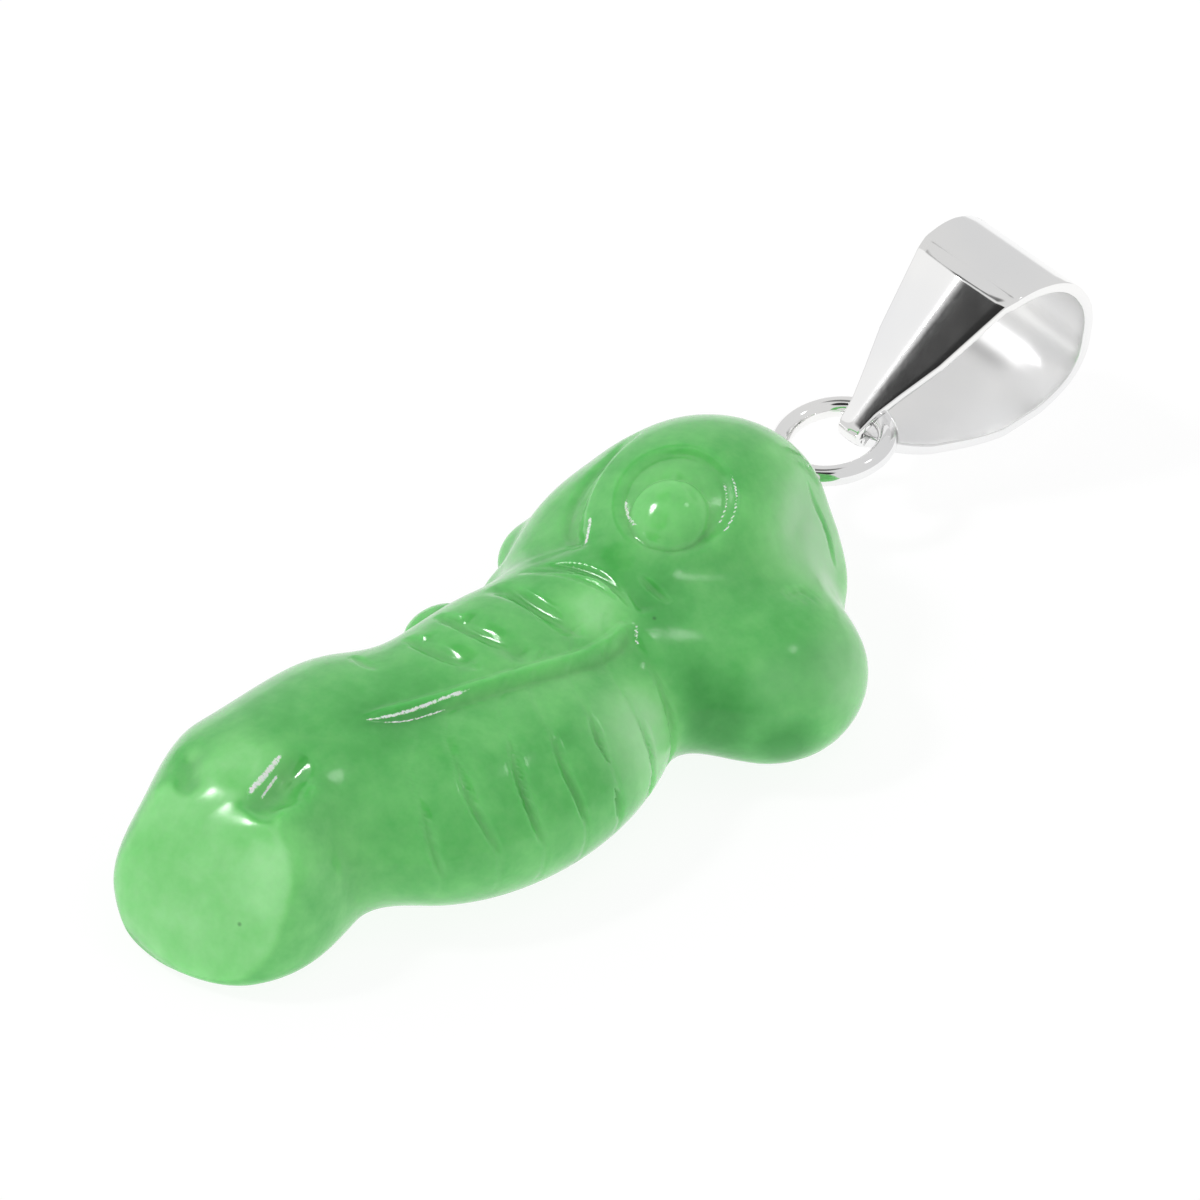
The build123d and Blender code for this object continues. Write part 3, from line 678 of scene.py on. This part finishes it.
def buildFitting():
    wire = fitting["wire"] / 2
    reach = fitting["ringRadius"] + wire
    front = -reach - fitting["capToRing"]
    back = front - fitting["capThickness"]
    bm = bmesh.new()
    # the ring: a small circle spun round the ring's middle
    wirePlace = Matrix.Translation((fitting["ringRadius"], 0, 0)) @ Matrix.Rotation(math.pi / 2, 4, "X")
    made = bmesh.ops.create_circle(bm, segments=fitting["wireSides"], radius=wire, matrix=wirePlace)
    edges = list({edge for vert in made["verts"] for edge in vert.link_edges})
    bmesh.ops.spin(bm, geom=made["verts"] + edges, cent=(0, 0, 0), axis=(0, 0, 1), angle=2 * math.pi,
                   steps=fitting["ringSides"], use_merge=True)
    lean = turned(fitting["pitch"], "X") @ turned(fitting["roll"], "Y")
    bmesh.ops.transform(bm, matrix=lean, verts=bm.verts)
    nearSide = lean @ Vector((0, -fitting["ringRadius"], 0))
    # cap, solder and peg: one outline spun round the Y axis
    radius, edge, steps = fitting["capDiameter"] / 2, fitting["capEdge"], fitting["edgeSteps"]
    peg, solder = fitting["pegDiameter"] / 2, fitting["solderWidth"] / 2
    pegEnd = back - fitting["pegLength"]
    outline = [(0, pegEnd), (peg, pegEnd), (peg, back), (radius, back)]
    for step in range(steps + 1):
        turn = math.pi / 2 * step / steps
        outline.append((radius - edge + edge * math.cos(turn), front - edge + edge * math.sin(turn)))
    outline += [(solder + out, front + ahead) for out, ahead in fitting["solderFoot"]]
    outline += [(out, nearSide.y + ahead) for out, ahead in fitting["solderNeck"]]
    verts = [bm.verts.new((x, y, 0)) for x, y in outline]
    edges = [bm.edges.new(pair) for pair in zip(verts[:-1], verts[1:])]
    bmesh.ops.spin(bm, geom=verts + edges, cent=(0, 0, 0), axis=(0, 1, 0), angle=2 * math.pi,
                   steps=fitting["capSides"], use_merge=True)
    bmesh.ops.remove_doubles(bm, verts=bm.verts, dist=1e-5)
    # the solder leans with the ring, from none at the cap to all at the wire
    for vert in bm.verts:
        out = math.hypot(vert.co.x, vert.co.z)
        if front + 0.01 < vert.co.y <= nearSide.y + 1e-4 and out < solder + 0.02:
            vert.co.z += nearSide.z * (vert.co.y - front) / (nearSide.y - front)
    bmesh.ops.transform(bm, matrix=Matrix.Scale(mm, 4) @ Matrix.Translation(ringSpot), verts=bm.verts)
    return finishPiece("silverCapAndRing", bm, "silver_cap_and_ring", silver)


buildFitting()
print("cap and ring: done")

# Silver bail, one folded band
bail = {
    "length": 9.5, "depth": 6.0, "width": 4.7, "sheet": 0.40, "ridge": 0.28,
    "yaw": -3.0, "roll": 5.0, "at": (0.22, 0.05, 0.17), "edge": 0.07,
    "loopMiddle": (0.0, 5.0, 1.5),
    # corners of the outer line seen from the side, and their radii
    "corners": [(0.000, 0.000, 0.075), (0.590, 0.725, 0.200), (0.835, 0.765, 0.500),
                (1.005, 0.360, 0.450), (0.985, -0.075, 0.350), (0.800, -0.225, 0.600),
                (0.520, -0.285, 1.000), (0.240, -0.225, 0.800)],
    "cornerSteps": 32,
    # width along the band: share of the length, share of the width
    "tapers": [(-0.05, 0.15), (0.00, 0.17), (0.11, 0.25), (0.19, 0.38), (0.32, 0.61), (0.60, 0.94),
               (0.75, 0.985), (1.02, 1.00)],
    # the fold along the front strap: shares of the strap, its height there, then how wide it grows
    "ridgeRun": (0.06, 0.945, 1.00), "ridgeHeights": (0.30, 1.0, 0.0),
    "ridgeStart": 0.30, "ridgeWide": 1.06, "ridgeRound": 0.14, "strapBand": 0.9,
    "sharpFrom": 60, "edgeSteps": 3, "around": 300,
    "columns": [-1.0, -0.8, -0.6, -0.4, -0.2, -0.07, 0.0, 0.07, 0.2, 0.4, 0.6, 0.8, 1.0],
}


def roundedOutline(count):
    # evenly spaced points round the bail's outer line, seen from the side
    corners = [np.array([along * bail["length"], up * bail["depth"]]) for along, up, _ in bail["corners"]]
    line = []
    for number, spot in enumerate(corners):
        radius = bail["corners"][number][2] * bail["depth"]
        into = unit(spot - corners[number - 1])
        away = unit(corners[(number + 1) % len(corners)] - spot)
        turn = math.acos(np.clip(into @ away, -1, 1))
        setback = radius * math.tan(turn / 2)
        side = np.array([into[1], -into[0]])          # towards the inside, as the line runs clockwise
        centre = spot - into * setback + side * radius
        start = spot - into * setback - centre
        for step in range(bail["cornerSteps"] + 1):
            angle = -turn * step / bail["cornerSteps"]
            cosine, sine = math.cos(angle), math.sin(angle)
            line.append(centre + [start[0] * cosine - start[1] * sine, start[0] * sine + start[1] * cosine])
    line = np.array(line + [line[0]])
    runs = np.concatenate([[0], np.cumsum(np.linalg.norm(np.diff(line, axis=0), axis=1))])
    wanted = np.linspace(0, runs[-1], count, endpoint=False)
    return np.stack([np.interp(wanted, runs, line[:, 0]), np.interp(wanted, runs, line[:, 1])], -1)


def bailBand():
    # a strip of faces bent into the closed band: its width runs across, its length runs round
    count, columns, width = bail["around"], bail["columns"], bail["width"]
    line = roundedOutline(count)
    way = np.roll(line, -1, axis=0) - np.roll(line, 1, axis=0)
    way /= np.linalg.norm(way, axis=1)[:, None]
    out = np.stack([-way[:, 1], way[:, 0]], -1)
    tapers = np.array(bail["tapers"])
    strap = np.array([bail["corners"][1][0] * bail["length"], bail["corners"][1][1] * bail["depth"]])
    strapLength = math.hypot(*strap)
    strapWay = unit(strap)
    strapOut = np.array([-strapWay[1], strapWay[0]])
    low, high = bail["ridgeRun"][:2]
    bm = bmesh.new()
    bmesh.ops.create_grid(bm, x_segments=len(columns) - 1, y_segments=count, size=0.5)
    for vert in list(bm.verts):
        place = round((vert.co.y + 0.5) * count) % count
        column = columns[round((vert.co.x + 0.5) * (len(columns) - 1))]
        spot = line[place]
        half = np.interp(spot[0], tapers[:, 0] * bail["length"], tapers[:, 1] * width / 2)
        # the front strap is folded along its middle
        run = (spot @ strapWay) / strapLength
        onStrap = (run > low * 0.5) * (abs(spot @ strapOut) < bail["strapBand"])
        fold = np.interp(run, bail["ridgeRun"], bail["ridgeHeights"]) * onStrap
        ridgeHalf = np.interp(run, [low, high], [bail["ridgeStart"], bail["ridgeWide"]]) * width / 2
        lift = bail["ridgeWide"] - math.hypot(column * half, bail["ridgeRound"]) / ridgeHalf
        spot = spot + out[place] * max(0.0, lift) * fold * bail["ridge"]
        vert.co = Vector((column * half, spot[0], spot[1]))
    bmesh.ops.remove_doubles(bm, verts=bm.verts, dist=1e-4)
    return bm


def buildBail():
    bm = bailBand()
    bmesh.ops.recalc_face_normals(bm, faces=bm.faces)
    loopMiddle = Vector(bail["loopMiddle"])
    outer = sum((face.calc_center_median() - loopMiddle).dot(face.normal) for face in bm.faces)
    if outer < 0:
        bmesh.ops.reverse_faces(bm, faces=bm.faces)
    bmesh.ops.solidify(bm, geom=bm.faces[:], thickness=bail["sheet"])
    sharpFrom = math.radians(bail["sharpFrom"])
    sharp = [edge for edge in bm.edges if edge.is_manifold and edge.calc_face_angle() > sharpFrom]
    bmesh.ops.bevel(bm, geom=sharp, offset=bail["edge"], affect="EDGES", segments=bail["edgeSteps"],
                    profile=0.5, material=-1)
    turn = turned(bail["yaw"], "Z") @ turned(bail["roll"], "Y")
    hang = Matrix.Translation(Vector(ringSpot) + Vector(bail["at"])) @ turn
    bmesh.ops.transform(bm, matrix=Matrix.Scale(mm, 4) @ hang, verts=bm.verts)
    piece = finishPiece("silverBail", bm, "silver_bail", silver)
    # the inner face is less polished: its vertices face the loop's middle
    middle = hang @ loopMiddle * mm
    facing = [(middle - vert.co).dot(vert.normal) > 0 for vert in piece.data.vertices]
    piece.data.attributes.new("inside", "FLOAT", "POINT").data.foreach_set("value", facing)
    return piece


buildBail()
print("bail: done")

# Floor, lights and camera
studio = {
    "azimuth": 43.0, "elevation": 37.0, "distance": 0.240, "pixelsPerMetre": 30000.0, "frame": 1200,
    "target": tuple(ringSpot * mm), "targetAt": (834, 441), "sensor": 36.0,
    "world": 0.72, "aim": (0, -0.002, 0.003),
    # the floor's own light: near and far tone, and the distances between which it falls
    "floorHalf": 3.0, "floorTones": (0.89, 0.64), "floorFall": (0.055, 0.16),
    # name, place, size, power, shape
    "boxes": [
        ("leftBox", (-0.155, -0.133, 0.295), 0.06, 0.36, "RECTANGLE"),
        ("sideBox", (-0.185, -0.082, 0.150), 0.14, 0.0125, "RECTANGLE"),
        ("topDisk", (0.108, 0.097, 0.33), 0.05, 0.022, "DISK"),
    ],
    # name, place, half sizes, tone
    "cards": [
        ("darkCard", (-0.013, -0.1375, 0.216), (0.095, 0.075), 0.02),
        ("greyCard", (-0.105, 0.004, 0.225), (0.060, 0.060), 0.16),
    ],
    "cardFall": (0.70, 1.0),
}


def grey(tone):
    return (tone, tone, tone, 1)


def glowingMaterial(name, base, fall, near, far):
    # its own light goes from the near to the far tone with the distance from the sheet's middle
    graph = Graph(name)
    gap = graph.node("ShaderNodeVectorMath", {"operation": "LENGTH"}, {0: graph.objectSpot()}, out=1)
    glow = graph.mix(graph.ramp(gap, *fall), grey(near), grey(far))
    shader = graph.node("ShaderNodeBsdfPrincipled", {}, {
        "Base Color": grey(base), "Roughness": 0.9, "Specular IOR Level": 0.0,
        "Emission Color": glow, "Emission Strength": 1.0})
    return graph.finish(shader)


def flatSheet(name, half):
    bm = bmesh.new()
    bmesh.ops.create_grid(bm, x_segments=1, y_segments=1, size=half)
    mesh = bpy.data.meshes.new(name)
    bm.to_mesh(mesh)
    bm.free()
    sheet = bpy.data.objects.new(name, mesh)
    bpy.context.scene.collection.objects.link(sheet)
    return sheet


def pointAt(thing, spot, aim):
    thing.location = spot
    thing.rotation_euler = (Vector(aim) - Vector(spot)).to_track_quat("-Z", "Y").to_euler()


def buildStage():
    floor = flatSheet("floor", studio["floorHalf"])
    white = glowingMaterial("whiteFloor", 0.14, studio["floorFall"], *studio["floorTones"])
    floor.data.materials.append(white)


def softBox(name, spot, size, power, shape):
    light = bpy.data.lights.new(name, "AREA")
    light.shape = shape
    light.size = light.size_y = size
    light.energy = power
    lamp = bpy.data.objects.new(name, light)
    pointAt(lamp, spot, studio["aim"])
    bpy.context.scene.collection.objects.link(lamp)


def card(name, spot, size, tone):
    # a graded card, of the studio's tone at its edges, that the silver reflects
    sheet = flatSheet(name, 1.0)
    pointAt(sheet, spot, studio["aim"])
    sheet.scale = (size[0], size[1], 1)
    sheet.visible_camera = False
    sheet.data.materials.append(glowingMaterial(name, 0.01, studio["cardFall"], tone, studio["world"]))


def buildWorld():
    world = bpy.data.worlds.new("studio")
    bpy.context.scene.world = world
    world.use_nodes = True
    back = world.node_tree.nodes["Background"]
    back.inputs[0].default_value = (1, 1, 1, 1)
    back.inputs[1].default_value = studio["world"]


def buildCamera():
    azimuth, elevation = math.radians(studio["azimuth"]), math.radians(studio["elevation"])
    flat = math.cos(elevation)
    back = Vector((math.sin(azimuth) * flat, -math.cos(azimuth) * flat, math.sin(elevation)))
    right = Vector((math.cos(azimuth), math.sin(azimuth), 0))
    up = back.cross(right)
    eye = Vector(studio["target"]) + back * studio["distance"]
    # turned from the target, which shows off the middle of the frame, to the frame's middle
    reach = studio["pixelsPerMetre"] * studio["distance"]
    half = studio["frame"] / 2
    aside, below = half - studio["targetAt"][0], half - studio["targetAt"][1]
    back = (back * reach - right * aside + up * below).normalized()
    right = (right - back * right.dot(back)).normalized()
    up = back.cross(right)
    camera = bpy.data.cameras.new("camera")
    camera.sensor_width = studio["sensor"]
    camera.lens = reach * camera.sensor_width / studio["frame"]
    camera.clip_start, camera.clip_end = 0.01, 50
    lens = bpy.data.objects.new("camera", camera)
    place = Matrix((right, up, back)).transposed().to_4x4()
    place.translation = eye
    lens.matrix_world = place
    bpy.context.scene.collection.objects.link(lens)
    bpy.context.scene.camera = lens


buildStage()
buildWorld()
for box in studio["boxes"]:
    softBox(*box)
for row in studio["cards"]:
    card(*row)
buildCamera()
bpy.context.scene.view_settings.view_transform = "Standard"
print("stage, lights and camera: done")
